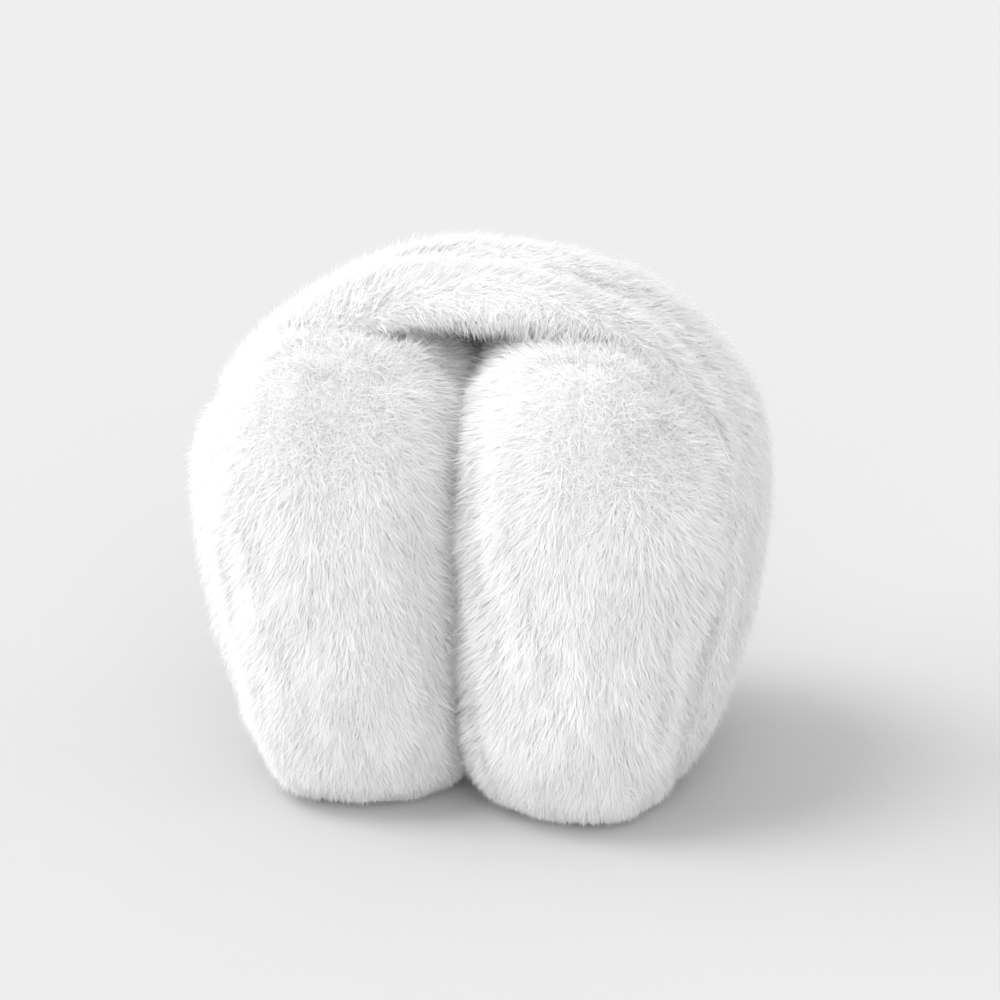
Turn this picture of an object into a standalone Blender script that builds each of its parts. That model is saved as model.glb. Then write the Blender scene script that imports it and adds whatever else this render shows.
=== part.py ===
"""Fur earmuffs, folded and standing on their two ear pads.

A wide fur headband arches over two plump ear pads that press against each other in the middle.
Right is +X, the back is +Y, up is +Z, and the floor is z = 0. Lengths are in metres.
"""

import math
import random

import bmesh
import bpy
from mathutils import Matrix, Vector

MM = 0.001

# ear pads, measured to the skin that the fur grows from
PAD_HEIGHT = 116 * MM
PAD_THICKNESS = 66 * MM
PAD_DEPTH = 95 * MM
PAD_PRESSED = 2.5 * MM  # how much of each pad is pressed flat against the other one
PAD_SUNK = 3 * MM  # how much of each pad is pressed flat by the floor

# headband, again to the skin
BAND_PROUD = 2.5 * MM  # how far the band's skin stands out past the pads' skin at its widest
BAND_ABOVE_PADS = 11 * MM
BAND_WIDEST_LEVEL = 72 * MM
BAND_FOOT_LEVEL = 3 * MM
BAND_FOOT_INSET = 16.5 * MM  # how far in from its widest the band's feet stand
BAND_WIDTH = 46 * MM
BAND_THICKNESS = 9 * MM
GROOVE_DEPTH = 3.2 * MM
GROOVE_WIDTH = 13 * MM
FRONT_DROOP = 4.5 * MM  # how far the band's front edge hangs towards the pads at most

# fur locks
LOCK_LENGTH = 17 * MM
LOCK_WIDTH = 9 * MM
LOCK_THICKNESS = 4.2 * MM
LOCK_RISE = 3 * MM
BAND_LOCK_CURVE = 75 * MM  # radius of the skin that a lock lies on
PAD_LOCK_CURVE = 90 * MM
BAND_LOCK_SPACING = 16 * MM
PAD_LOCK_SPACING = 18.5 * MM
PAD_LOCK_ROW_SPACING = 14.5 * MM

SEAT_GAP = 0.3 * MM  # between soft pieces that touch
WHITE_FUR = (0.93, 0.93, 0.92, 1.0)

BAND_STATIONS = 31
BAND_SIDES = 14
PAD_RINGS = 14
PAD_SIDES = 24
LOCK_SIDES = 5

# powers that round a section's corners: 2 is an ellipse, and a higher one is squarer
BAND_SQUARE_ACROSS = 3.2
BAND_SQUARE_THROUGH = 2.6
PAD_SQUARE = 2.5

BAND_WIDEST_PLACE = 0.54  # share of the way along the band from its top to a foot

# along the band from its left foot at -1 to its right foot at 1, in shares of its width, thickness,
# half width (the groove's place, forward is minus), groove depth and front droop
BAND_SECTIONS = (
    # along, width, thickness, groove_place, groove_depth, droop
    (-1.00, 0.62, 0.60, 0.40, 0.0, 0.0),
    (-0.96, 0.84, 0.92, 0.40, 0.0, 0.0),
    (-0.85, 0.98, 1.05, 0.40, 0.0, 0.0),
    (-0.50, 1.00, 0.95, 0.40, 0.3, 0.3),
    (-0.25, 1.00, 1.10, 0.35, 0.8, 1.0),
    (0.00, 1.04, 1.22, 0.10, 1.0, 0.7),
    (0.20, 1.02, 1.20, -0.20, 1.0, -0.3),
    (0.38, 1.00, 1.10, -0.60, 0.8, -0.3),
    (0.50, 1.00, 0.98, -0.85, 0.3, 0.0),
    (0.85, 0.98, 1.05, -0.85, 0.0, 0.0),
    (0.96, 0.84, 0.92, -0.85, 0.0, 0.0),
    (1.00, 0.62, 0.60, -0.85, 0.0, 0.0),
)

# up a pad from its flattened base at 0 to its top at 1, in shares of half its thickness or half its depth
PAD_SECTIONS = (
    # height, outer, inner, front, back
    (0.00, 0.36, 0.80, 0.56, 0.56),
    (0.05, 0.52, 0.92, 0.76, 0.74),
    (0.16, 0.63, 0.99, 0.92, 0.88),
    (0.30, 0.75, 1.00, 0.99, 0.95),
    (0.48, 0.91, 1.00, 1.00, 0.965),
    (0.66, 0.99, 1.00, 1.00, 0.955),
    (0.80, 0.88, 0.96, 0.96, 0.91),
    (0.90, 0.66, 0.81, 0.85, 0.76),
    (0.97, 0.38, 0.53, 0.62, 0.52),
    (1.00, 0.16, 0.20, 0.26, 0.20),
)

# along a lock of fur from its sunk root to its tip, in shares of its length, half width and rise
LOCK_SECTIONS = (
    # ahead, fullness, lift
    (-0.15, 0.80, -0.50),
    (0.18, 0.89, 0.04),
    (0.52, 0.76, 0.44),
    (0.85, 0.00, 0.80),
)

# where the band's rows of locks stand round its section, as shares of the half turn from its back edge
# over its outer face to its front edge: the rows take turns
BAND_LOCK_TURNS = (
    (0.30, 0.50, 0.70),
    (0.22, 0.41, 0.59, 0.78),
)
BAND_LOCK_ROWS = (-0.92, 0.92)  # the first and last row's place along the band
BAND_LOCK_DIVIDE = -0.42  # the locks lie to the left before this place along the band, then to the right
PAD_LOCK_ROWS = (0.09, 0.93)  # the lowest and highest row's share of the pad's height

# where a pad's fur parts, as shares: height of the pad, half its thickness outward, half its depth forward
PARTING_HEIGHT = 0.68
PARTING_OUTWARD = 0.10
PARTING_FORWARD = 0.62

# how unevenly the locks grow: a share of the spacing, a share of half a turn, a slope, and sizes
PLACE_SCATTER = 0.15
TURN_SCATTER = 0.02
SPREAD_SCATTER = 0.25
BAND_LOCK_SIZES = (0.80, 1.05)
PAD_LOCK_SIZES = (0.85, 1.10)

SIDES = {"left": -1, "right": 1}


def section_at(rows, place):
    """The columns of a table at a place between its rows, on a smooth curve through them."""
    last = len(rows) - 2
    k = min(max(sum(row[0] <= place for row in rows) - 1, 0), last)
    before, low, high, after = rows[max(k - 1, 0)], rows[k], rows[k + 1], rows[min(k + 2, last + 1)]
    step = high[0] - low[0]
    t = (place - low[0]) / step
    found = []
    for a, b, c, d in zip(before[1:], low[1:], high[1:], after[1:]):
        slope_low = (c - a) / (high[0] - before[0]) * step
        slope_high = (d - b) / (after[0] - low[0]) * step
        found.append(
            b * (2 * t**3 - 3 * t**2 + 1)
            + slope_low * (t**3 - 2 * t**2 + t)
            + c * (3 * t**2 - 2 * t**3)
            + slope_high * (t**3 - t**2)
        )
    return found


def squared(value, power):
    """A cosine or sine pushed outward, so that a ring of them is a rounded rectangle."""
    return math.copysign(abs(value) ** (2 / power), value)


def pad_axis():
    """How far a pad's upright middle line is from the middle of the earmuffs."""
    return PAD_THICKNESS / 2 - PAD_PRESSED


def pad_point(height, angle, side):
    """A point of a pad's skin: up it, and round it from the outer side over the back."""
    outer, inner, front, back = section_at(PAD_SECTIONS, height)
    turn, across = squared(math.cos(angle), PAD_SQUARE), squared(math.sin(angle), PAD_SQUARE)
    sideways = turn * (outer if turn > 0 else inner) * PAD_THICKNESS / 2
    depth = across * (back if across > 0 else front) * PAD_DEPTH / 2
    level = -PAD_SUNK + height * (PAD_HEIGHT + PAD_SUNK)
    return Vector((side * (pad_axis() + sideways), depth, level))


def band_half_span():
    return pad_axis() + PAD_THICKNESS / 2 + BAND_PROUD


def band_path(along):
    """The headband's skin line at its outer face, and the direction straight out of it.

    Above its widest level it is half an ellipse, and below it a steeper one down to each foot.
    """
    half_span = band_half_span()
    rise = PAD_HEIGHT + BAND_ABOVE_PADS - BAND_WIDEST_LEVEL
    foot_angle = math.acos(1 - BAND_FOOT_INSET / half_span)
    drop = (BAND_WIDEST_LEVEL - BAND_FOOT_LEVEL) / math.sin(foot_angle)
    side = math.copysign(1, along)
    if abs(along) <= BAND_WIDEST_PLACE:
        angle, radius = math.pi / 2 * (1 - abs(along) / BAND_WIDEST_PLACE), rise
    else:
        angle = -foot_angle * (abs(along) - BAND_WIDEST_PLACE) / (1 - BAND_WIDEST_PLACE)
        radius = drop
    cosine, sine = math.cos(angle), math.sin(angle)
    point = Vector((side * half_span * cosine, 0, BAND_WIDEST_LEVEL + radius * sine))
    out = Vector((side * radius * cosine, 0, half_span * sine)).normalized()
    return point, out


def band_point(along, angle, grow_out=0.0, grow_in=0.0, grow_sides=0.0):
    """A point of the headband's skin: along it, and round its section from the back edge over the top."""
    width, thickness, groove_place, groove_depth, droop = section_at(BAND_SECTIONS, min(max(along, -1), 1))
    half_width = BAND_WIDTH * width / 2
    thick = BAND_THICKNESS * thickness
    across = half_width * squared(math.cos(angle), BAND_SQUARE_ACROSS)
    through = squared(math.sin(angle), BAND_SQUARE_THROUGH)
    from_groove = (across - half_width * groove_place) / (GROOVE_WIDTH / 2)
    dip = max(through, 0) * groove_depth * GROOVE_DEPTH * math.exp(-(from_groove**2))
    grow = grow_out if through > 0 else grow_in
    point, out = band_path(along)
    forward = max(-across / half_width, 0)
    lift = (through - 1) * thick / 2 + through * grow - dip - droop * FRONT_DROOP * forward**2
    across += grow_sides * squared(math.cos(angle), BAND_SQUARE_ACROSS)
    return point + out * lift + Vector((0, across, 0))


def loft(name, rings, tip=None):
    """A closed body through rings of points, its ends capped or drawn to a tip."""
    bm = bmesh.new()
    loops = [[bm.verts.new(point) for point in ring] for ring in rings]
    for low, high in zip(loops, loops[1:]):
        for k in range(len(low)):
            bm.faces.new((low[k - 1], low[k], high[k], high[k - 1]))
    bm.faces.new(loops[0])
    if tip is None:
        bm.faces.new(loops[-1])
    else:
        end = bm.verts.new(tip)
        for k in range(len(loops[-1])):
            bm.faces.new((loops[-1][k - 1], loops[-1][k], end))
    bmesh.ops.recalc_face_normals(bm, faces=bm.faces)
    mesh = bpy.data.meshes.new(name)
    bm.to_mesh(mesh)
    bm.free()
    mesh.shade_smooth()
    return mesh


def ring_angles(count):
    return [2 * math.pi * (k + 0.5) / count for k in range(count)]


def band_mesh(name, end=1.0, **grow):
    stations = [end * (2 * k / (BAND_STATIONS - 1) - 1) for k in range(BAND_STATIONS)]
    return loft(name, [[band_point(u, a, **grow) for a in ring_angles(BAND_SIDES)] for u in stations])


def pad_mesh(name, side):
    heights = [(1 - math.cos(math.pi * k / (PAD_RINGS - 1))) / 2 for k in range(PAD_RINGS)]
    return loft(name, [[pad_point(h, a, side) for a in ring_angles(PAD_SIDES)] for h in heights])


def lock_mesh(skin_radius):
    """One lock of fur along +Y on a skin that curves down by this radius, its root sunk below z = 0."""
    rings = []
    for ahead, fullness, lift in LOCK_SECTIONS:
        forward = LOCK_LENGTH * ahead
        level = LOCK_RISE * lift - forward**2 / (2 * skin_radius)
        half_width, half_thick = LOCK_WIDTH / 2 * fullness, LOCK_THICKNESS / 2 * fullness
        rings.append([
            (half_width * math.cos(a), forward, level + half_thick * math.sin(a))
            for a in ring_angles(LOCK_SIDES)
        ])
    return loft("lock", rings[:-1], tip=rings[-1][0])


def skin_frame(point_at, first, second, middle):
    """A place on a skin given by two numbers: the point and the direction out, away from a middle."""
    small = 1e-3
    point = point_at(first, second)
    one = point_at(first + small, second) - point_at(first - small, second)
    two = point_at(first, second + small) - point_at(first, second - small)
    out = one.cross(two).normalized()
    if out.dot(point - middle) < 0:
        out = -out
    return point, out


def add_helper(collection, name, mesh, place=None):
    helper = bpy.data.objects.new(name, mesh)
    helper.hide_render = True
    helper.display_type = "WIRE"
    if place is not None:
        helper.matrix_world = place
    collection.objects.link(helper)


def add_lock(collection, mesh, point, out, along, size):
    along = (along - out * along.dot(out)).normalized()
    across = along.cross(out)
    turned = Matrix((across, along, out)).transposed().to_4x4()
    add_helper(collection, "lock", mesh, Matrix.Translation(point) @ turned @ Matrix.Scale(size, 4))


def rows_between(ends, count):
    return [ends[0] + (ends[1] - ends[0]) * row / (count - 1) for row in range(count)]


def band_locks(collection, mesh):
    """Staggered rows of locks over the outer face and both edges, lying over the arch and down both legs."""
    dice = random.Random(5)
    line = [band_path(k / BAND_STATIONS)[0] for k in range(-BAND_STATIONS, BAND_STATIONS + 1)]
    length = sum((b - a).length for a, b in zip(line, line[1:]))
    count = round(length / BAND_LOCK_SPACING)
    for row, along in enumerate(rows_between(BAND_LOCK_ROWS, count)):
        for turn in BAND_LOCK_TURNS[row % len(BAND_LOCK_TURNS)]:
            angle = math.pi * (turn + dice.uniform(-TURN_SCATTER, TURN_SCATTER))
            u = along + 2 * dice.uniform(-PLACE_SCATTER, PLACE_SCATTER) / count
            at, straight_out = band_path(u)
            middle = at - straight_out * BAND_THICKNESS / 2
            point, out = skin_frame(band_point, u, angle, middle)
            way = math.copysign(1 / count, u - BAND_LOCK_DIVIDE)
            ahead = (band_path(u + way)[0] - at).normalized()
            spread = Vector((0, dice.uniform(-SPREAD_SCATTER, SPREAD_SCATTER), 0))
            add_lock(collection, mesh, point, out, ahead + spread, dice.uniform(*BAND_LOCK_SIZES))


def pad_locks(collection, mesh, side):
    """Rows of locks round a pad, each lying away from the parting, none where the pad is pressed."""
    dice = random.Random(7 + side)
    middle = Vector((side * pad_axis(), 0, PAD_HEIGHT / 2))
    parting = Vector((
        side * (pad_axis() + PARTING_OUTWARD * PAD_THICKNESS / 2),
        -PARTING_FORWARD * PAD_DEPTH / 2,
        PARTING_HEIGHT * PAD_HEIGHT,
    ))

    def point_at(height, angle):
        return pad_point(height, angle, side)

    rows = round(PAD_HEIGHT / PAD_LOCK_ROW_SPACING)
    for row, height in enumerate(rows_between(PAD_LOCK_ROWS, rows)):
        ring = [point_at(height, a) for a in ring_angles(PAD_SIDES)]
        girth = sum((ring[k] - ring[k - 1]).length for k in range(PAD_SIDES))
        count = round(girth / PAD_LOCK_SPACING)
        for k in range(count):
            shift = row % 2 / 2 + dice.uniform(-PLACE_SCATTER, PLACE_SCATTER)
            level = height + dice.uniform(-PLACE_SCATTER, PLACE_SCATTER) / rows
            point, out = skin_frame(point_at, level, 2 * math.pi * (k + shift) / count, middle)
            size = dice.uniform(*PAD_LOCK_SIZES)
            inner = abs(point.x) < LOCK_WIDTH / 2
            under_band = abs(point.y) < (BAND_WIDTH + LOCK_WIDTH) / 2
            at_floor = point.z < LOCK_LENGTH
            if not (inner or under_band or at_floor):
                add_lock(collection, mesh, point, out, point - parting, size)


def box_mesh(name, low, high):
    bm = bmesh.new()
    bmesh.ops.create_cube(bm, size=1)
    for v in bm.verts:
        v.co = [low[k] + (v.co[k] + 0.5) * (high[k] - low[k]) for k in range(3)]
    mesh = bpy.data.meshes.new(name)
    bm.to_mesh(mesh)
    bm.free()
    return mesh


def fur_material():
    material = bpy.data.materials.new("white_fur")
    material.use_nodes = True
    shader = material.node_tree.nodes["Principled BSDF"]
    shader.inputs["Base Color"].default_value = WHITE_FUR
    shader.inputs["Roughness"].default_value = 0.95
    shader.inputs["Metallic"].default_value = 0.0
    return material


def clear_scene():
    for obj in list(bpy.data.objects):
        bpy.data.objects.remove(obj, do_unlink=True)


def new_collection(name, parent, helper=False):
    collection = bpy.data.collections.new(name)
    collection.hide_render = helper
    parent.children.link(collection)
    return collection


def join_by(obj, operation, collection):
    modifier = obj.modifiers.new(operation.title(), "BOOLEAN")
    modifier.operation = operation
    modifier.solver = "EXACT"
    modifier.operand_type = "COLLECTION"
    modifier.collection = collection


def build():
    clear_scene()
    root = bpy.context.scene.collection
    earmuffs = new_collection("fur_earmuffs", root)
    cutters = new_collection("cutters", root, helper=True)
    fur = fur_material()
    far = PAD_HEIGHT + band_half_span()
    floor = box_mesh("floor", (-far, -far, -far), (far, far, 0))

    band = bpy.data.objects.new("headband", band_mesh("headband"))
    locks = new_collection("headband_locks", cutters, helper=True)
    band_locks(locks, lock_mesh(BAND_LOCK_CURVE))
    join_by(band, "UNION", locks)
    level = new_collection("headband_floor", cutters, helper=True)
    add_helper(level, "headband_floor", floor)
    join_by(band, "DIFFERENCE", level)
    pieces = [band]

    past_foot = 1 + 2 * SEAT_GAP / BAND_WIDEST_LEVEL
    space = band_mesh(
        "band_space", past_foot, grow_out=2 * LOCK_RISE, grow_in=SEAT_GAP, grow_sides=LOCK_RISE
    )
    lock = lock_mesh(PAD_LOCK_CURVE)
    for name, side in SIDES.items():
        pad = bpy.data.objects.new("ear_pad_" + name, pad_mesh("ear_pad_" + name, side))
        locks = new_collection(name + "_pad_locks", cutters, helper=True)
        pad_locks(locks, lock, side)
        join_by(pad, "UNION", locks)
        pressed = new_collection(name + "_pad_pressed", cutters, helper=True)
        near, away = sorted((side * SEAT_GAP / 2, -side * far))
        middle = box_mesh("middle", (near, -far, -far), (away, far, far))
        add_helper(pressed, name + "_band_space", space)
        add_helper(pressed, name + "_middle", middle)
        add_helper(pressed, name + "_floor", floor)
        join_by(pad, "DIFFERENCE", pressed)
        pieces.append(pad)

    for piece in pieces:
        piece.data.materials.append(fur)
        earmuffs.objects.link(piece)


build()
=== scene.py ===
"""Folded fur earmuffs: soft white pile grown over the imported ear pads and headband.

Right is +X, the back is +Y, up is +Z, and the floor is z = 0. Lengths are in metres.
"""

import math

import bmesh
import bpy
import numpy as np
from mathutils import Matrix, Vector


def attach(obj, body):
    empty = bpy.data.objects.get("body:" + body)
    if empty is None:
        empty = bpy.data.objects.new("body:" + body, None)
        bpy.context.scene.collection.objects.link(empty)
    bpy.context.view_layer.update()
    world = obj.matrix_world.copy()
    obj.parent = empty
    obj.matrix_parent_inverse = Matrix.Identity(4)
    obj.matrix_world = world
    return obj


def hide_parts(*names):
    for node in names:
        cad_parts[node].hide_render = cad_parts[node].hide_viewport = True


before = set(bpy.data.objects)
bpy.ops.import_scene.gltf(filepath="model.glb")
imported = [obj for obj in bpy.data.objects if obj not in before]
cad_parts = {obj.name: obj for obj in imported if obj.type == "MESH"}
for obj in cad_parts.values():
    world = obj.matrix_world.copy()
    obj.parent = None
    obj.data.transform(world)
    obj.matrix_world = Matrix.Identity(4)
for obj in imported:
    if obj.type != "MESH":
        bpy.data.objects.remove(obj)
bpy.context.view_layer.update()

MM = 0.001

# ear pads, to the skin that the fur grows from
PAD_HEIGHT = 116 * MM
PAD_THICKNESS = 66 * MM
PAD_DEPTH = 95 * MM
PAD_PRESSED = 2.5 * MM
PAD_SUNK = 3 * MM
PAD_SQUARE = 2.5
PAD_AXIS = PAD_THICKNESS / 2 - PAD_PRESSED

# up a pad: shares of half its thickness or half its depth
PAD_SECTIONS = (
    # height, outer, inner, front, back
    (0.00, 0.36, 0.80, 0.56, 0.56),
    (0.05, 0.52, 0.92, 0.76, 0.74),
    (0.16, 0.63, 0.99, 0.92, 0.88),
    (0.30, 0.75, 1.00, 0.99, 0.95),
    (0.48, 0.91, 1.00, 1.00, 0.965),
    (0.66, 0.99, 1.00, 1.00, 0.955),
    (0.80, 0.88, 0.96, 0.96, 0.91),
    (0.90, 0.66, 0.81, 0.85, 0.76),
    (0.97, 0.38, 0.53, 0.62, 0.52),
    (1.00, 0.16, 0.20, 0.26, 0.20),
)

# headband
BAND_HALF_SPAN = 66 * MM
BAND_TOP = 127 * MM
BAND_WIDEST_LEVEL = 72 * MM
BAND_FOOT_LEVEL = 3 * MM
BAND_FOOT_INSET = 16.5 * MM
BAND_WIDEST_PLACE = 0.54
BAND_WIDTH = 46 * MM
BAND_THICKNESS = 9 * MM
BAND_SQUARE_ACROSS = 3.2
BAND_SQUARE_THROUGH = 2.6
GROOVE_DEPTH = 5.5 * MM
GROOVE_WIDTH = 11 * MM
FRONT_DROOP = 4.5 * MM  # how far the front edge hangs towards the pads at most

# along the band from its left foot at -1 to its right foot at 1: shares of its width and
# thickness, the groove's place as a share of half the width, shares of its depth and the droop
BAND_SECTIONS = (
    # along, width, thickness, groove_place, groove_depth, droop
    (-1.00, 0.62, 0.60, 0.40, 0.0, 0.0),
    (-0.96, 0.84, 0.92, 0.40, 0.0, 0.0),
    (-0.85, 0.98, 1.05, 0.40, 0.0, 0.0),
    (-0.50, 1.00, 0.95, 0.40, 0.3, 0.3),
    (-0.25, 1.00, 1.10, 0.35, 0.8, 1.0),
    (0.00, 1.04, 1.22, 0.10, 1.0, 0.7),
    (0.20, 1.02, 1.20, -0.20, 1.0, -0.3),
    (0.38, 1.00, 1.10, -0.60, 0.8, -0.3),
    (0.50, 1.00, 0.98, -0.85, 0.3, 0.0),
    (0.85, 0.98, 1.05, -0.85, 0.0, 0.0),
    (0.96, 0.84, 0.92, -0.85, 0.0, 0.0),
    (1.00, 0.62, 0.60, -0.85, 0.0, 0.0),
)

SEAT_GAP = 0.3 * MM
BAND_SHOULDER = 4 * MM  # how gently a pad swells beside the band that presses it

# segments round and rings along each skin's sphere
PAD_SKIN_MESH = (96, 80)
BAND_SKIN_MESH = (48, 160)
POLE_RING = 1e-4  # a sphere's points nearer its axis than this have no way round it

# the pile of each piece: loose tufts on top of dense single strands
TOP_STRANDS_A_TUFT = 6
PAD_TUFTS = 9600
BAND_TUFTS = 8800
PAD_UNDER_STRANDS = 140000
BAND_UNDER_STRANDS = 130000
PAD_LENGTH = 8 * MM
BAND_LENGTH = 7 * MM
UNDER_SHARE = 0.85  # how long the dense strands are beside the top ones
TOP_WIDTH = 0.155 * MM
TOP_WIDTH_SHARES = (1.0, 0.90)  # at the root and part of the way up
TOP_PLACES = (0, 0.55, 1)  # where a strand has points, from root to tip
UNDER_WIDTH = 0.22 * MM
UNDER_PLACES = (0, 1)
TUFT_RADIUS = 1.4 * MM
TUFT_GATHER = 0.88  # how wide a tuft is at its tips beside its roots
FLOOR_REACH = 26 * MM  # below this level the pile shortens and lies flat, towards the floor
GROWS_ABOVE = 0.8 * MM
ROOT_SINK = 0.5 * MM
PAD_SEED = 11
BAND_SEED = 23
PAD_EVENNESS = 0.0  # how much strands are lit as the skin below them
BAND_EVENNESS = 0.8
TOP_SPARE = 3  # points scattered for each tuft, because some fall where nothing grows
UNDER_SPARE = 1.9

# how a strand bends, in radians over and under its lift, and how far its tip falls
LEAVES_OVER = 0.35
ARRIVES_UNDER = 0.45
TIP_FALL = 0.12
STRAND_TWIST = 0.6
LEVEL_SHARE = 0.85  # of the skin's way out in a strand's normal
FACING_SHARE = 0.5  # of the strand's own

# how unlike its neighbours each strand is, as spreads in radians or as least and most shares
TUFT_TURN = 0.26
TUFT_LIFT = 0.12
TUFT_LENGTH = (0.92, 1.06)
TOP_TURN = 0.40
TOP_LIFT = 0.11
TOP_LENGTH = (0.50, 1.06)
TOP_SHADE = (0.75, 0.2)  # middle and spread
UNDER_TURN = 0.38
UNDER_LIFT = (0.16, 0.20)  # middle and spread
UNDER_LENGTH = (0.70, 1.15)
UNDER_SHADE = (0.70, 0.2)
UNRULY_PAINTED_SHADE = 0.1  # painted shade: how much darker unruly strands are painted, at the pads' partings and where the band's pile hangs

# soft waves through the pile: of its turn and lift in radians, and of its length as a share
WAVES = {
    # seed, wavelength, size
    "pad_turn": (3, 13 * MM, 0.30),
    "pad_lift": (4, 9 * MM, 0.19),
    "pad_length": (5, 9 * MM, 0.10),
    "band_turn": (6, 16 * MM, 0.14),
    "band_lift": (7, 12 * MM, 0.03),
    "band_length": (8, 9 * MM, 0.04),
}
PAD_WAVE_STRETCH = (1, 1, 0.45)  # the pads' locks are taller than wide

# where the pads' pile parts, on short lines: outward, forward or back, and up
BACK_PARTING = ((32 * MM, 33 * MM, 103 * MM), (32 * MM, 39 * MM, 93 * MM))
PARTINGS = {
    # front, back
    "left": (((29 * MM, -30 * MM, 107 * MM), (29 * MM, -38 * MM, 99 * MM)), BACK_PARTING),
    "right": (((39 * MM, -28 * MM, 106 * MM), (39 * MM, -37 * MM, 97 * MM)), BACK_PARTING),
}
PARTING_REACH = 32 * MM
PARTING_UNRULY = 6

# the pads' pile, its lift off the skin in degrees
PAD_FALL = 0.35  # how much it turns down, away from a parting
PAD_LIFT = 28
PAD_LOW_LIFT = 6  # less by this at the floor
PAD_PARTING_SHORTER = 0.25
PAD_LOW_SHORTER = 0.50
# where the pads meet at the front it lies to the left, over the line between them
MEETING_ACROSS = (-9 * MM, 0)
MEETING_FORWARD = (25 * MM, 45 * MM)
MEETING_LEFT = {"left": 0.5, "right": 1.1}
MEETING_LIFT = 0.2  # radians
MEETING_LONGER = {"left": -0.45, "right": 0.3}
# and it stands up at the front beside the band's legs
BESIDE_EDGE = (1 * MM, 9 * MM)
BESIDE_OUTWARD = (42 * MM, 52 * MM)
BESIDE_FORWARD = (0, 10 * MM)
BESIDE_LIFT = 0.25  # radians
# no pile where the band or the other pad presses
PRESSED_EDGE = 0.5 * MM
PRESSED_DEPTH = 2 * MM
PRESSED_BY_PAD = 0.4 * MM
FACES_FLOOR = -0.9

# the band's pile: where along the band each of its ways begins and ends, its lift in degrees
TURNS_OVER = (-0.48, -0.34)  # from down the left leg to rightward over the top
HANGS = ((-0.08, 0.16), (0.36, 0.46))  # down over the front roll
FALLS = (-0.42, -0.30)
SHOULDERS = (((-0.70, -0.45), (-0.15, 0.05)), ((0.05, 0.20), (0.36, 0.50)))  # stands higher
TUCKED = ((-0.50, -0.40), (-0.08, 0.04))  # short under the front roll
FACES_FRONT = (0.1, 0.8)
FACES_DOWN = (-0.5, 0.3)
HANG_WAY = (0, -0.3, -1.0)
HANG_PULL = 1.2  # how strongly it turns that way where it hangs, and below where it falls
FALL_PULL = 0.35
FALL_PULL_UNDER = 0.5
BAND_LIFT = 18
BAND_FRONT_LIFT = 2
BAND_LOW_LIFT = 6
BAND_SHOULDER_LIFT = 14
BAND_HANG_LIFT = 8
BAND_LOW_SHORTER = 0.4
BAND_SHOULDER_LONGER = 0.20
BAND_GROOVE_SHORTER = 0.6
BAND_TUCKED_SHORTER = 0.5
HANG_UNRULY = 0.7
OUTER_FACE = 0.3  # least share of the way straight out on the band's outer face
INNER_FACE = -0.5
BARE_INSIDE = 0.30  # beyond this place along the band its inner face is pressed and bare

# each layer is darker at the root than at the tip as painted shade deep in the pile
FUR_TONES = {
    # layer, root, tip
    "pad_fur": (("top", 0.82, 0.965), ("under", 0.78, 0.94)),
    # the band's fur is painted lighter than the pads' as painted light on the top of the earmuffs
    "band_fur": (("top", 0.90, 0.985), ("under", 0.87, 0.97)),
}
TIP_TONE_FROM = 0.6  # how far up a strand its tip's tone begins
DARKEST_SHADE = 0.90
HAIR_ROUGHNESS = 0.6
HAIR_SHINE = 0.1
LIGHT_THROUGH = 0.48
BACKING_PAINTED_SHADE_TONES = ((0.3, 0.55), (0.7, 0.68))  # place in the noise, tone; the grey is painted shade deep in the pile
BACKING_GRAIN = 900
BACKING_BUMP = 0.4 * MM

WORLD_STRENGTH = 0.95
TABLE_TONE = 0.4776
TABLE_HALF = 6
LAMPS = (
    # name, energy, softness, azimuth round from the front to the right, elevation
    ("window", 1.25, 24, -63, 62),
    ("front_window", 1.4, 50, 14, 24),
    ("left_window", 2.0, 60, -78, 25),
    ("right_window", 0.35, 70, 75, 30),
)

CAMERA_AZIMUTH = 12
CAMERA_ELEVATION = 18
CAMERA_DISTANCE = 0.573
CAMERA_AIM = Vector((0, 0, 0.064))
CAMERA_LENS = 85.6
CAMERA_SENSOR = 36
CAMERA_SHIFT = (0.015, 0.012)
CAMERA_REACH = (0.01, 20)


def columns(rows, place):
    """The columns of a table at places between its rows, on smooth curves through them."""
    table = np.array(rows)
    knots, values = table[:, 0], table[:, 1:]
    slopes = np.gradient(values, knots, axis=0)
    k = np.clip(np.searchsorted(knots, place, side="right") - 1, 0, len(knots) - 2)
    step = (knots[k + 1] - knots[k])[:, None]
    t = (place - knots[k])[:, None] / step
    return (
        values[k] * (2 * t**3 - 3 * t**2 + 1)
        + slopes[k] * step * (t**3 - 2 * t**2 + t)
        + values[k + 1] * (3 * t**2 - 2 * t**3)
        + slopes[k + 1] * step * (t**3 - t**2)
    ).T


def squared(value, power):
    return np.sign(value) * np.abs(value) ** (2 / power)


def smooth_step(value, low, high):
    t = np.clip((value - low) / (high - low), 0, 1)
    return t * t * (3 - 2 * t)


def unit(vectors):
    return vectors / np.maximum(np.linalg.norm(vectors, axis=1, keepdims=True), 1e-12)


def dots(a, b):
    return (a * b).sum(axis=1, keepdims=True)


def turned(way, out, angle):
    """Directions along the skin, turned about the way out."""
    return np.cos(angle) * way + np.sin(angle) * np.cross(out, way)


def rise_and_fall(value, rise, fall):
    """From 0 up to 1 over the first pair of places and back to 0 over the second."""
    return smooth_step(value, *rise) * (1 - smooth_step(value, *fall))


def ripple(points, wave):
    """A soft random wave over space, about as high and as deep as its size."""
    seed, wavelength, size = WAVES[wave]
    dice = np.random.default_rng(seed)
    total = np.zeros(len(points))
    for _ in range(6):
        direction = unit(dice.normal(size=(1, 3)))[0] * dice.uniform(0.7, 1.5)
        start = dice.uniform(0, 2 * math.pi)
        total += np.sin(2 * math.pi / wavelength * (points @ direction) + start)
    return size * (total / 3)


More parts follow.
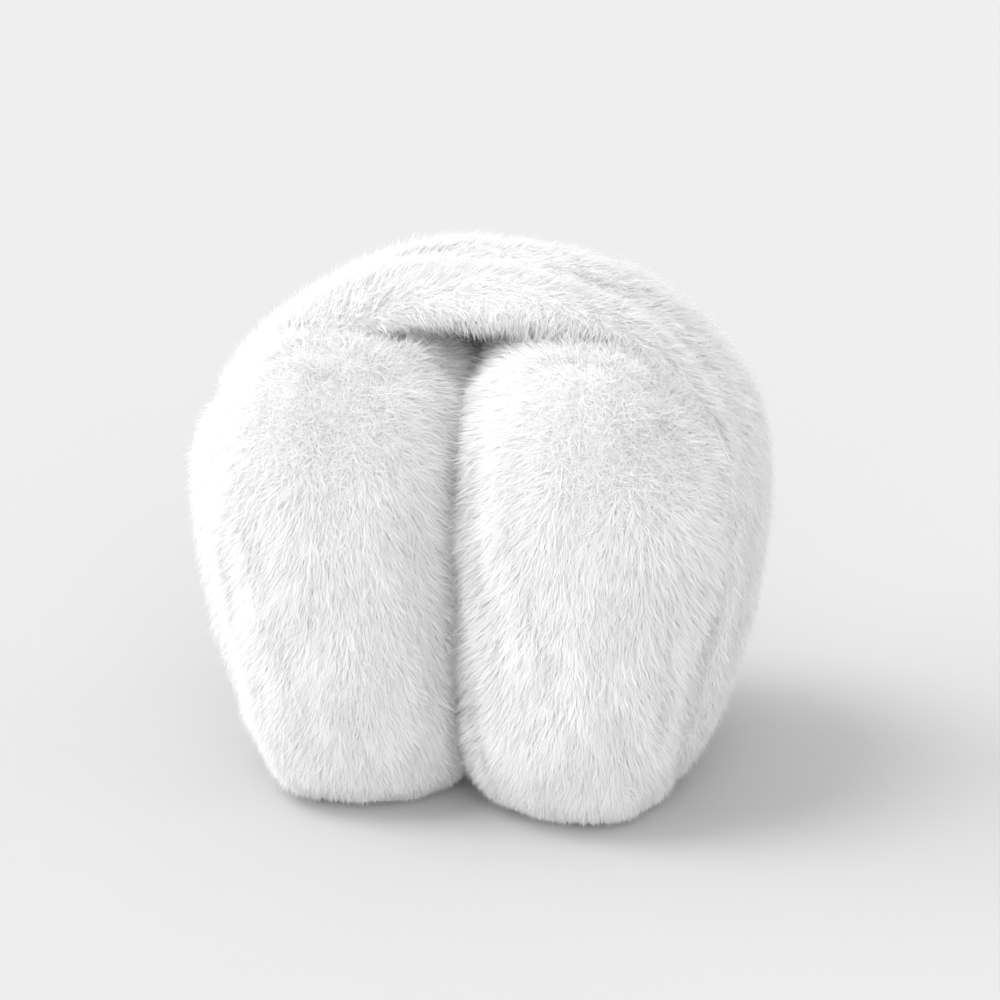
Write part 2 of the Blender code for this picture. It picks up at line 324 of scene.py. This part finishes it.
def band_path(along):
    """The band's outer line and the direction straight out of it, both in the x-z plane."""
    rise = BAND_TOP - BAND_WIDEST_LEVEL
    foot_angle = math.acos(1 - BAND_FOOT_INSET / BAND_HALF_SPAN)
    drop = (BAND_WIDEST_LEVEL - BAND_FOOT_LEVEL) / math.sin(foot_angle)
    side = np.where(along < 0, -1.0, 1.0)
    upper = np.abs(along) <= BAND_WIDEST_PLACE
    angle = np.where(
        upper,
        math.pi / 2 * (1 - np.abs(along) / BAND_WIDEST_PLACE),
        -foot_angle * (np.abs(along) - BAND_WIDEST_PLACE) / (1 - BAND_WIDEST_PLACE),
    )
    radius = np.where(upper, rise, drop)
    line = np.stack((
        side * BAND_HALF_SPAN * np.cos(angle),
        np.zeros_like(angle),
        BAND_WIDEST_LEVEL + radius * np.sin(angle),
    ), axis=1)
    out = np.stack((
        side * radius * np.cos(angle),
        np.zeros_like(angle),
        BAND_HALF_SPAN * np.sin(angle),
    ), axis=1)
    return line, unit(out)


def beside_band(points):
    """For each point: its place along the band, how far out of the band's outer line it is,
    how far beyond the band's edge, how deep the band's inner face lies there, and the way out."""
    stations = np.linspace(-1, 1, 401)
    line, out = band_path(stations)
    flat = points[:, [0, 2]]
    nearest = np.empty(len(points), int)
    batch = 20000
    for start in range(0, len(points), batch):
        part = flat[start:start + batch, None] - line[None, :, [0, 2]]
        nearest[start:start + batch] = (part**2).sum(axis=2).argmin(axis=1)
    width, thickness, _, _, droop = columns(BAND_SECTIONS, stations)
    away = ((points - line[nearest]) * out[nearest]).sum(axis=1)
    half_width = BAND_WIDTH / 2 * width[nearest]
    forward = np.clip(-points[:, 1] / half_width, 0, 1)
    depth = BAND_THICKNESS * thickness[nearest] + FRONT_DROOP * droop[nearest] * forward**2
    return stations[nearest], away, np.abs(points[:, 1]) - half_width, depth, out[nearest]


def squared_ring(sphere, *powers):
    """A unit sphere's points seen along its axis, each moved out onto a squared ring."""
    ring = np.hypot(sphere[:, 0], sphere[:, 1])
    round_it = sphere[:, :2] / np.maximum(ring, 1e-9)[:, None]
    return (squared(round_it[:, k], power) * (ring > POLE_RING) for k, power in enumerate(powers))


def pad_skin(sphere, side):
    """A unit sphere's points moved to a pad's skin, pressed by the floor, the other pad and
    the band."""
    share = (1 + sphere[:, 2]) / 2
    outer, inner, front, back = columns(PAD_SECTIONS, share)
    turn, across = squared_ring(sphere, PAD_SQUARE, PAD_SQUARE)
    sideways = turn * np.where(turn > 0, outer, inner) * PAD_THICKNESS / 2
    depth = across * np.where(across > 0, back, front) * PAD_DEPTH / 2
    level = -PAD_SUNK + share * (PAD_HEIGHT + PAD_SUNK)
    points = np.stack((side * (PAD_AXIS + sideways), depth, np.maximum(level, SEAT_GAP)), axis=1)
    points[:, 0] = side * np.maximum(side * points[:, 0], SEAT_GAP / 2)
    _, away, beyond, thick, out = beside_band(points)
    too_far = np.maximum(away + thick + SEAT_GAP, 0) * (1 - smooth_step(beyond, 0, BAND_SHOULDER))
    return points - out * too_far[:, None]


def band_skin(sphere):
    """A unit sphere's points moved to the headband's skin, its poles at the feet."""
    along = np.arcsin(np.clip(sphere[:, 2], -1, 1)) / (math.pi / 2)
    width, thickness, groove_place, groove_depth, droop = columns(BAND_SECTIONS, along)
    share, through = squared_ring(sphere, BAND_SQUARE_ACROSS, BAND_SQUARE_THROUGH)
    half_width = BAND_WIDTH * width / 2
    from_groove = half_width * (share - groove_place) / (GROOVE_WIDTH / 2)
    dip = np.maximum(through, 0) * groove_depth * GROOVE_DEPTH * np.exp(-(from_groove**2))
    line, out = band_path(along)
    lift = (through - 1) * BAND_THICKNESS * thickness / 2 - dip
    lift -= FRONT_DROOP * droop * np.maximum(-share, 0) ** 2
    points = line + out * lift[:, None]
    points[:, 1] = half_width * share
    return points


def link(name, mesh):
    obj = bpy.data.objects.new(name, mesh)
    bpy.context.scene.collection.objects.link(obj)
    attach(obj, "root")
    return obj


def skin_mesh(name, shape, segments, rings):
    bm = bmesh.new()
    bmesh.ops.create_uvsphere(bm, u_segments=segments, v_segments=rings, radius=1)
    placed = shape(np.array([v.co for v in bm.verts]))
    for v, point in zip(bm.verts, placed):
        v.co = point
    if bm.calc_volume(signed=True) < 0:
        bmesh.ops.reverse_faces(bm, faces=bm.faces)
    mesh = bpy.data.meshes.new(name)
    bm.to_mesh(mesh)
    bm.free()
    mesh.shade_smooth()
    return mesh


def scatter(mesh, count, dice):
    """Points evenly spread over a mesh, and the way out at each."""
    mesh.calc_loop_triangles()
    corners = np.empty(len(mesh.loop_triangles) * 3, np.int32)
    mesh.loop_triangles.foreach_get("vertices", corners)
    # a sphere's faces come in a new order each run, so its triangles are sorted
    corners = np.unique(np.sort(corners.reshape(-1, 3), axis=1), axis=0)
    points = np.empty(len(mesh.vertices) * 3)
    mesh.vertices.foreach_get("co", points)
    points = points.reshape(-1, 3)
    normals = np.array([v.normal for v in mesh.vertices])
    a, b, c = (points[corners[:, k]] for k in range(3))
    areas = np.linalg.norm(np.cross(b - a, c - a), axis=1)
    chosen = dice.choice(len(corners), count, p=areas / areas.sum())
    u, v = dice.random((2, count, 1))
    over = u + v > 1
    u, v = np.where(over, 1 - u, u), np.where(over, 1 - v, v)
    shares = (1 - u - v, u, v)
    at = sum(share * points[corners[chosen, k]] for k, share in enumerate(shares))
    out = sum(share * normals[corners[chosen, k]] for k, share in enumerate(shares))
    return at, unit(out)


def away_from_line(points, line, mirror):
    """From the nearest point of a short parting line to each point."""
    start, end = (np.array(place) * mirror for place in line)
    run = end - start
    share = np.clip((points - start) @ run / (run @ run), 0, 1)
    return points - start - share[:, None] * run


def near_floor(at):
    return 1 - smooth_step(at[:, 2], 0, FLOOR_REACH)


def along_skin(way, out):
    return unit(way - out * dots(way, out))


def pad_lay(name, side):
    """How a pad's pile lies: away from its parting and down, standing and unruly near it."""

    def lay(at, out):
        mirror = np.array((side, 1, 1))
        front, back = (away_from_line(at, line, mirror) for line in PARTINGS[name])
        away = np.where(at[:, 1:2] < 0, front, back)
        spread = smooth_step(np.linalg.norm(away, axis=1), 0, PARTING_REACH)
        low = near_floor(at)
        meeting = smooth_step(-side * at[:, 0], *MEETING_ACROSS)
        meeting *= smooth_step(-at[:, 1], *MEETING_FORWARD)
        beside = 1 - smooth_step(beside_band(at)[2], *BESIDE_EDGE)
        beside *= (
            smooth_step(side * at[:, 0], *BESIDE_OUTWARD) * smooth_step(-at[:, 1], *BESIDE_FORWARD)
        )
        stretched = at * np.array(PAD_WAVE_STRETCH)

        way = unit(away) + np.array((0, 0, -PAD_FALL)) * spread[:, None]
        way = way + np.array((-MEETING_LEFT[name], 0, 0)) * meeting[:, None]
        way = along_skin(way, out)
        way = unit(way + np.cross(out, way) * ripple(stretched, "pad_turn")[:, None])
        lift = np.radians(PAD_LIFT - PAD_LOW_LIFT * low) + ripple(stretched, "pad_lift")
        lift = lift + BESIDE_LIFT * beside
        lift = lift + MEETING_LIFT * meeting
        length = PAD_LENGTH * (1 - PAD_PARTING_SHORTER * (1 - spread))
        length = length * (1 - PAD_LOW_SHORTER * low)
        length = length * (1 + MEETING_LONGER[name] * meeting)
        length = length * (1 + ripple(stretched, "pad_length"))
        return way, lift, length, 1 + PARTING_UNRULY * (1 - spread) ** 2

    return lay


def pad_grows(side):
    """Where a pad's pile grows: not under the band, against the other pad or on the floor."""

    def grows(at, out):
        _, away, beyond, depth, _ = beside_band(at)
        under_band = (beyond < PRESSED_EDGE) & (away > -depth - PRESSED_DEPTH)
        pressed = side * at[:, 0] < PRESSED_BY_PAD
        below = (at[:, 2] < GROWS_ABOVE) | (out[:, 2] < FACES_FLOOR)
        return ~(under_band | pressed | below)

    return grows


def band_lay(at, out):
    """How the band's pile lies: to the right over the top, down both legs, hanging on the
    front roll."""
    along, _, _, _, straight_out = beside_band(at)
    front = smooth_step(-out[:, 1], *FACES_FRONT)
    under = smooth_step(-out[:, 2], *FACES_DOWN)
    low = near_floor(at)
    hang = front * rise_and_fall(along, *HANGS)
    fall = front * (FALL_PULL + FALL_PULL_UNDER * under) * smooth_step(along, *FALLS)
    tucked = front * under * rise_and_fall(along, *TUCKED)
    shoulder = sum(rise_and_fall(along, *ends) for ends in SHOULDERS)
    width, _, groove_place, groove_depth, _ = columns(BAND_SECTIONS, along)
    from_groove = (at[:, 1] - BAND_WIDTH / 2 * width * groove_place) / (GROOVE_WIDTH / 2)
    on_top = dots(out, straight_out)[:, 0] > OUTER_FACE
    in_groove = groove_depth * np.exp(-(from_groove**2)) * on_top

    rightward = np.stack((straight_out[:, 2], np.zeros(len(at)), -straight_out[:, 0]), axis=1)
    way = rightward * (smooth_step(along, *TURNS_OVER)[:, None] * 2 - 1)
    way = way * (1 - hang)[:, None] + np.array(HANG_WAY) * (hang * HANG_PULL + fall)[:, None]
    way = along_skin(way, out)
    way = unit(way + np.cross(out, way) * ripple(at, "band_turn")[:, None])
    lift = np.radians(
        BAND_LIFT
        + BAND_FRONT_LIFT * front
        - BAND_LOW_LIFT * low
        + BAND_SHOULDER_LIFT * shoulder
        + BAND_HANG_LIFT * hang
    ) + ripple(at, "band_lift")
    length = BAND_LENGTH * (1 - BAND_LOW_SHORTER * low) * (1 + BAND_SHOULDER_LONGER * shoulder)
    length = length * (1 - BAND_GROOVE_SHORTER * in_groove) * (1 - BAND_TUCKED_SHORTER * tucked)
    return way, lift, length * (1 + ripple(at, "band_length")), 1 + HANG_UNRULY * hang


def band_grows(at, out):
    """Where the band's pile grows: not at the floor or on the inner face against the pads."""
    along, _, _, _, straight_out = beside_band(at)
    inner = (dots(out, straight_out)[:, 0] < INNER_FACE) & (np.abs(along) > BARE_INSIDE)
    return ~(inner | (at[:, 2] < GROWS_ABOVE))


def strand_points(at, out, way, lift, length, spread, gather, places):
    """Points at the given places from root to tip of each strand, which bends over as it goes."""
    lift = lift[:, None]
    leave = np.cos(lift + LEAVES_OVER) * way + np.sin(lift + LEAVES_OVER) * out
    arrive = np.cos(lift - ARRIVES_UNDER) * way + np.sin(lift - ARRIVES_UNDER) * out
    arrive = arrive + np.array((0, 0, -TIP_FALL))
    return [
        at
        + length[:, None] * (t * leave + t * t / 2 * (arrive - leave))
        + spread * (1 - t * (1 - gather))
        for t in places
    ]


def strand_mesh(name, paths, widths, out, dice, shades, places, evenness):
    """Flat strands with pointed tips, one triangle strip each, facing more or less outward.
    The more even, the more they are lit as the skin below them."""
    count = len(out)
    ways = unit(paths[-1] - paths[0])
    side = unit(np.cross(ways, out) + 1e-9)
    twist = dice.uniform(-STRAND_TWIST, STRAND_TWIST, (count, 1))
    side = side * np.cos(twist) + np.cross(ways, side) * np.sin(twist)
    rows = [path + side * width * way for path, width in zip(paths, widths) for way in (-1, 1)]
    rows.append(paths[-1])
    each = len(rows)
    points = np.stack(rows, axis=1).reshape(-1, 3)
    points[:, 2] = np.maximum(points[:, 2], SEAT_GAP)
    strip = [(k, k + 1, k + 2) if k % 2 == 0 else (k + 1, k, k + 2) for k in range(each - 2)]
    faces = (np.arange(count)[:, None, None] * each + np.array(strip)[None]).reshape(-1, 3)

    mesh = bpy.data.meshes.new(name)
    mesh.vertices.add(len(points))
    mesh.vertices.foreach_set("co", points.ravel())
    mesh.loops.add(faces.size)
    mesh.loops.foreach_set("vertex_index", faces.ravel().astype(np.int32))
    mesh.polygons.add(len(faces))
    mesh.polygons.foreach_set("loop_start", np.arange(0, faces.size, 3, dtype=np.int32))
    mesh.polygons.foreach_set("use_smooth", np.ones(len(faces), bool))
    up = mesh.attributes.new("up_strand", "FLOAT", "POINT")
    heights = np.append(np.repeat(places[:-1], 2), places[-1])
    up.data.foreach_set("value", np.tile(heights, count).astype(np.float32))
    shade = mesh.attributes.new("shade", "FLOAT", "POINT")
    shade.data.foreach_set("value", np.repeat(shades, each).astype(np.float32))
    mesh.update()
    facing = unit(np.cross(side, ways))
    level = out - LEVEL_SHARE * (1 - evenness) * ways * dots(out, ways)
    normals = unit(LEVEL_SHARE * level + FACING_SHARE * (1 - evenness) * facing)
    mesh.normals_split_custom_set_from_vertices(np.repeat(normals, each, axis=0))
    return mesh


# each strand's tone differs at random, and unruly strands, at the pads' partings and where the
# band's pile hangs, are painted darker as painted shade
def random_tones_and_painted_shade(dice, middle, spread, unruly):
    return np.clip(dice.normal(middle, spread, len(unruly)) - UNRULY_PAINTED_SHADE * (unruly - 1), 0, 1)


def top_pile(name, skin, lay, grows, tufts, evenness, dice):
    """Long strands in loose tufts."""
    centre, out = scatter(skin, tufts * TOP_SPARE, dice)
    kept = np.flatnonzero(grows(centre, out))[:tufts]
    centre, out = centre[kept], out[kept]
    way, lift, length, unruly = lay(centre, out)
    way = turned(way, out, dice.normal(0, TUFT_TURN, (len(kept), 1)) * unruly[:, None])
    lift = lift + dice.normal(0, TUFT_LIFT, len(kept))
    length = length * dice.uniform(*TUFT_LENGTH, len(kept))

    each = TOP_STRANDS_A_TUFT
    centre, out, way = (np.repeat(a, each, axis=0) for a in (centre, out, way))
    lift, length, unruly = (np.repeat(a, each) for a in (lift, length, unruly))
    count = len(centre)
    aside = np.cross(out, way)
    turn = dice.uniform(0, 2 * math.pi, (count, 1))
    off = TUFT_RADIUS * np.sqrt(dice.random((count, 1)))
    spread = off * (np.cos(turn) * way + np.sin(turn) * aside)
    way = turned(way, out, dice.normal(0, TOP_TURN, (count, 1)) * unruly[:, None])
    lift = lift + dice.normal(0, TOP_LIFT, count)
    length = length * dice.uniform(*TOP_LENGTH, count)
    roots = centre - out * ROOT_SINK
    paths = strand_points(roots, out, way, lift, length, spread, TUFT_GATHER, TOP_PLACES)
    widths = [TOP_WIDTH / 2 * share for share in TOP_WIDTH_SHARES]
    shades = random_tones_and_painted_shade(dice, *TOP_SHADE, unruly)
    return strand_mesh(name, paths, widths, out, dice, shades, TOP_PLACES, evenness)


def under_pile(name, skin, lay, grows, count, evenness, dice):
    """Shorter dense strands that close the pile."""
    at, out = scatter(skin, int(count * UNDER_SPARE), dice)
    kept = np.flatnonzero(grows(at, out))[:count]
    at, out = at[kept], out[kept]
    way, lift, length, unruly = lay(at, out)
    count = len(kept)
    way = turned(way, out, dice.normal(0, UNDER_TURN, (count, 1)) * unruly[:, None])
    lift = lift + dice.normal(*UNDER_LIFT, count)
    length = length * UNDER_SHARE * dice.uniform(*UNDER_LENGTH, count)
    paths = strand_points(at - out * ROOT_SINK, out, way, lift, length, 0 * at, 1, UNDER_PLACES)
    shades = random_tones_and_painted_shade(dice, *UNDER_SHADE, unruly)
    return strand_mesh(
        name, paths, [UNDER_WIDTH / 2], out, dice, shades, UNDER_PLACES, evenness
    )


def grey(tone):
    return (tone, tone, tone, 1)


def new_material(name):
    material = bpy.data.materials.new(name)
    material.use_nodes = True
    tree = material.node_tree
    tree.nodes.clear()
    output = tree.nodes.new("ShaderNodeOutputMaterial")
    return material, tree, output


def fur_material(name, root_tone, tip_tone):
    """White hair: darker at the root as painted shade deep in the pile, each strand a little
    different, with painted shade on unruly strands, light passing through.
    """
    material, tree, output = new_material(name)
    nodes, links = tree.nodes, tree.links
    up = nodes.new("ShaderNodeAttribute")
    up.attribute_name = "up_strand"
    shade = nodes.new("ShaderNodeAttribute")
    shade.attribute_name = "shade"
    ramp = nodes.new("ShaderNodeValToRGB")
    ramp.color_ramp.elements[0].color = grey(root_tone)
    ramp.color_ramp.elements[1].color = grey(tip_tone)
    ramp.color_ramp.elements[1].position = TIP_TONE_FROM
    links.new(up.outputs["Fac"], ramp.inputs["Fac"])
    vary = nodes.new("ShaderNodeMapRange")
    vary.inputs["To Min"].default_value = DARKEST_SHADE
    vary.inputs["To Max"].default_value = 1.0
    links.new(shade.outputs["Fac"], vary.inputs["Value"])
    tint = nodes.new("ShaderNodeMix")
    tint.data_type = "RGBA"
    tint.blend_type = "MULTIPLY"
    tint.inputs["Factor"].default_value = 1
    links.new(ramp.outputs["Color"], tint.inputs[6])
    links.new(vary.outputs["Result"], tint.inputs[7])
    hair = nodes.new("ShaderNodeBsdfPrincipled")
    hair.inputs["Roughness"].default_value = HAIR_ROUGHNESS
    hair.inputs["Specular IOR Level"].default_value = HAIR_SHINE
    links.new(tint.outputs[2], hair.inputs["Base Color"])
    through = nodes.new("ShaderNodeBsdfTranslucent")
    links.new(tint.outputs[2], through.inputs["Color"])
    mix = nodes.new("ShaderNodeMixShader")
    mix.inputs["Fac"].default_value = LIGHT_THROUGH
    links.new(hair.outputs["BSDF"], mix.inputs[1])
    links.new(through.outputs["BSDF"], mix.inputs[2])
    links.new(mix.outputs["Shader"], output.inputs["Surface"])
    return material


def backing_material():
    """The dense wool at the roots, seen only where the pile parts, its grey painted shade deep in
    the pile.
    """
    material, tree, output = new_material("fur_backing_painted_shade")
    nodes, links = tree.nodes, tree.links
    place = nodes.new("ShaderNodeTexCoord")
    noise = nodes.new("ShaderNodeTexNoise")
    noise.inputs["Scale"].default_value = BACKING_GRAIN
    noise.inputs["Detail"].default_value = 3
    links.new(place.outputs["Object"], noise.inputs["Vector"])
    ramp = nodes.new("ShaderNodeValToRGB")
    for element, (position, tone) in zip(ramp.color_ramp.elements, BACKING_PAINTED_SHADE_TONES):
        element.position = position
        element.color = grey(tone)
    links.new(noise.outputs["Fac"], ramp.inputs["Fac"])
    wool = nodes.new("ShaderNodeBsdfPrincipled")
    wool.inputs["Roughness"].default_value = 0.95
    links.new(ramp.outputs["Color"], wool.inputs["Base Color"])
    bump = nodes.new("ShaderNodeBump")
    bump.inputs["Strength"].default_value = 0.6
    bump.inputs["Distance"].default_value = BACKING_BUMP
    links.new(noise.outputs["Fac"], bump.inputs["Height"])
    links.new(bump.outputs["Normal"], wool.inputs["Normal"])
    links.new(wool.outputs["BSDF"], output.inputs["Surface"])
    return material


def table_material():
    material, tree, output = new_material("pale_table")
    shader = tree.nodes.new("ShaderNodeBsdfPrincipled")
    shader.inputs["Base Color"].default_value = grey(TABLE_TONE)
    shader.inputs["Roughness"].default_value = 0.9
    shader.inputs["Specular IOR Level"].default_value = 0.0
    tree.links.new(shader.outputs["BSDF"], output.inputs["Surface"])
    return material


def furnish(node, skin, lay, grows, counts, evenness, dice, backing, furs):
    """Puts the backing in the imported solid's place and grows both layers of pile on it."""
    body = link(node + "_backing", skin)
    body.data.materials.append(backing)
    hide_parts(node)
    layers = (("top", top_pile), ("under", under_pile))
    for (layer, pile), count, material in zip(layers, counts, furs):
        mesh = pile(f"{node}_{layer}_pile", skin, lay, grows, count, evenness, dice)
        mesh.materials.append(material)
        link(f"{node}_{layer}_pile", mesh)
    return body


def make_earmuffs():
    backing = backing_material()
    furs = {
        slot: [fur_material(f"{slot}_{layer}", root, tip) for layer, root, tip in tones]
        for slot, tones in FUR_TONES.items()
    }
    for name, side in (("left", -1), ("right", 1)):
        node = "ear_pad_" + name
        skin = skin_mesh(node + "_backing", lambda sphere: pad_skin(sphere, side), *PAD_SKIN_MESH)
        dice = np.random.default_rng(PAD_SEED + side)
        body = furnish(
            node, skin, pad_lay(name, side), pad_grows(side),
            (PAD_TUFTS, PAD_UNDER_STRANDS), PAD_EVENNESS, dice, backing, furs["pad_fur"],
        )
    skin = skin_mesh("headband_backing", band_skin, *BAND_SKIN_MESH)
    dice = np.random.default_rng(BAND_SEED)
    furnish(
        "headband", skin, band_lay, band_grows,
        (BAND_TUFTS, BAND_UNDER_STRANDS), BAND_EVENNESS, dice, backing, furs["band_fur"],
    )


def set_the_table():
    bm = bmesh.new()
    bmesh.ops.create_grid(bm, x_segments=1, y_segments=1, size=TABLE_HALF)
    mesh = bpy.data.meshes.new("table_top")
    bm.to_mesh(mesh)
    bm.free()
    mesh.materials.append(table_material())
    table = bpy.data.objects.new("table_top", mesh)
    bpy.context.scene.collection.objects.link(table)

    world = bpy.data.worlds.new("soft_room")
    world.use_nodes = True
    sky = world.node_tree.nodes["Background"]
    sky.inputs["Color"].default_value = grey(1)
    sky.inputs["Strength"].default_value = WORLD_STRENGTH
    bpy.context.scene.world = world

    for name, energy, softness, azimuth, elevation in LAMPS:
        lamp = bpy.data.lights.new(name, "SUN")
        lamp.energy = energy
        lamp.angle = math.radians(softness)
        sun = bpy.data.objects.new(name, lamp)
        turn = math.radians(azimuth)
        towards = Vector((math.sin(turn), -math.cos(turn), math.tan(math.radians(elevation))))
        sun.rotation_euler = towards.to_track_quat("Z", "Y").to_euler()
        bpy.context.scene.collection.objects.link(sun)


def point_camera():
    azimuth, elevation = math.radians(CAMERA_AZIMUTH), math.radians(CAMERA_ELEVATION)
    back = Vector((
        math.sin(azimuth) * math.cos(elevation),
        -math.cos(azimuth) * math.cos(elevation),
        math.sin(elevation),
    ))
    lens = bpy.data.cameras.new("camera")
    lens.lens = CAMERA_LENS
    lens.sensor_width = CAMERA_SENSOR
    lens.shift_x, lens.shift_y = CAMERA_SHIFT
    lens.clip_start, lens.clip_end = CAMERA_REACH
    camera = bpy.data.objects.new("camera", lens)
    camera.location = CAMERA_AIM + back * CAMERA_DISTANCE
    camera.rotation_euler = back.to_track_quat("Z", "Y").to_euler()
    bpy.context.scene.collection.objects.link(camera)
    bpy.context.scene.camera = camera


make_earmuffs()
set_the_table()
point_camera()
bpy.context.scene.view_settings.view_transform = "Standard"
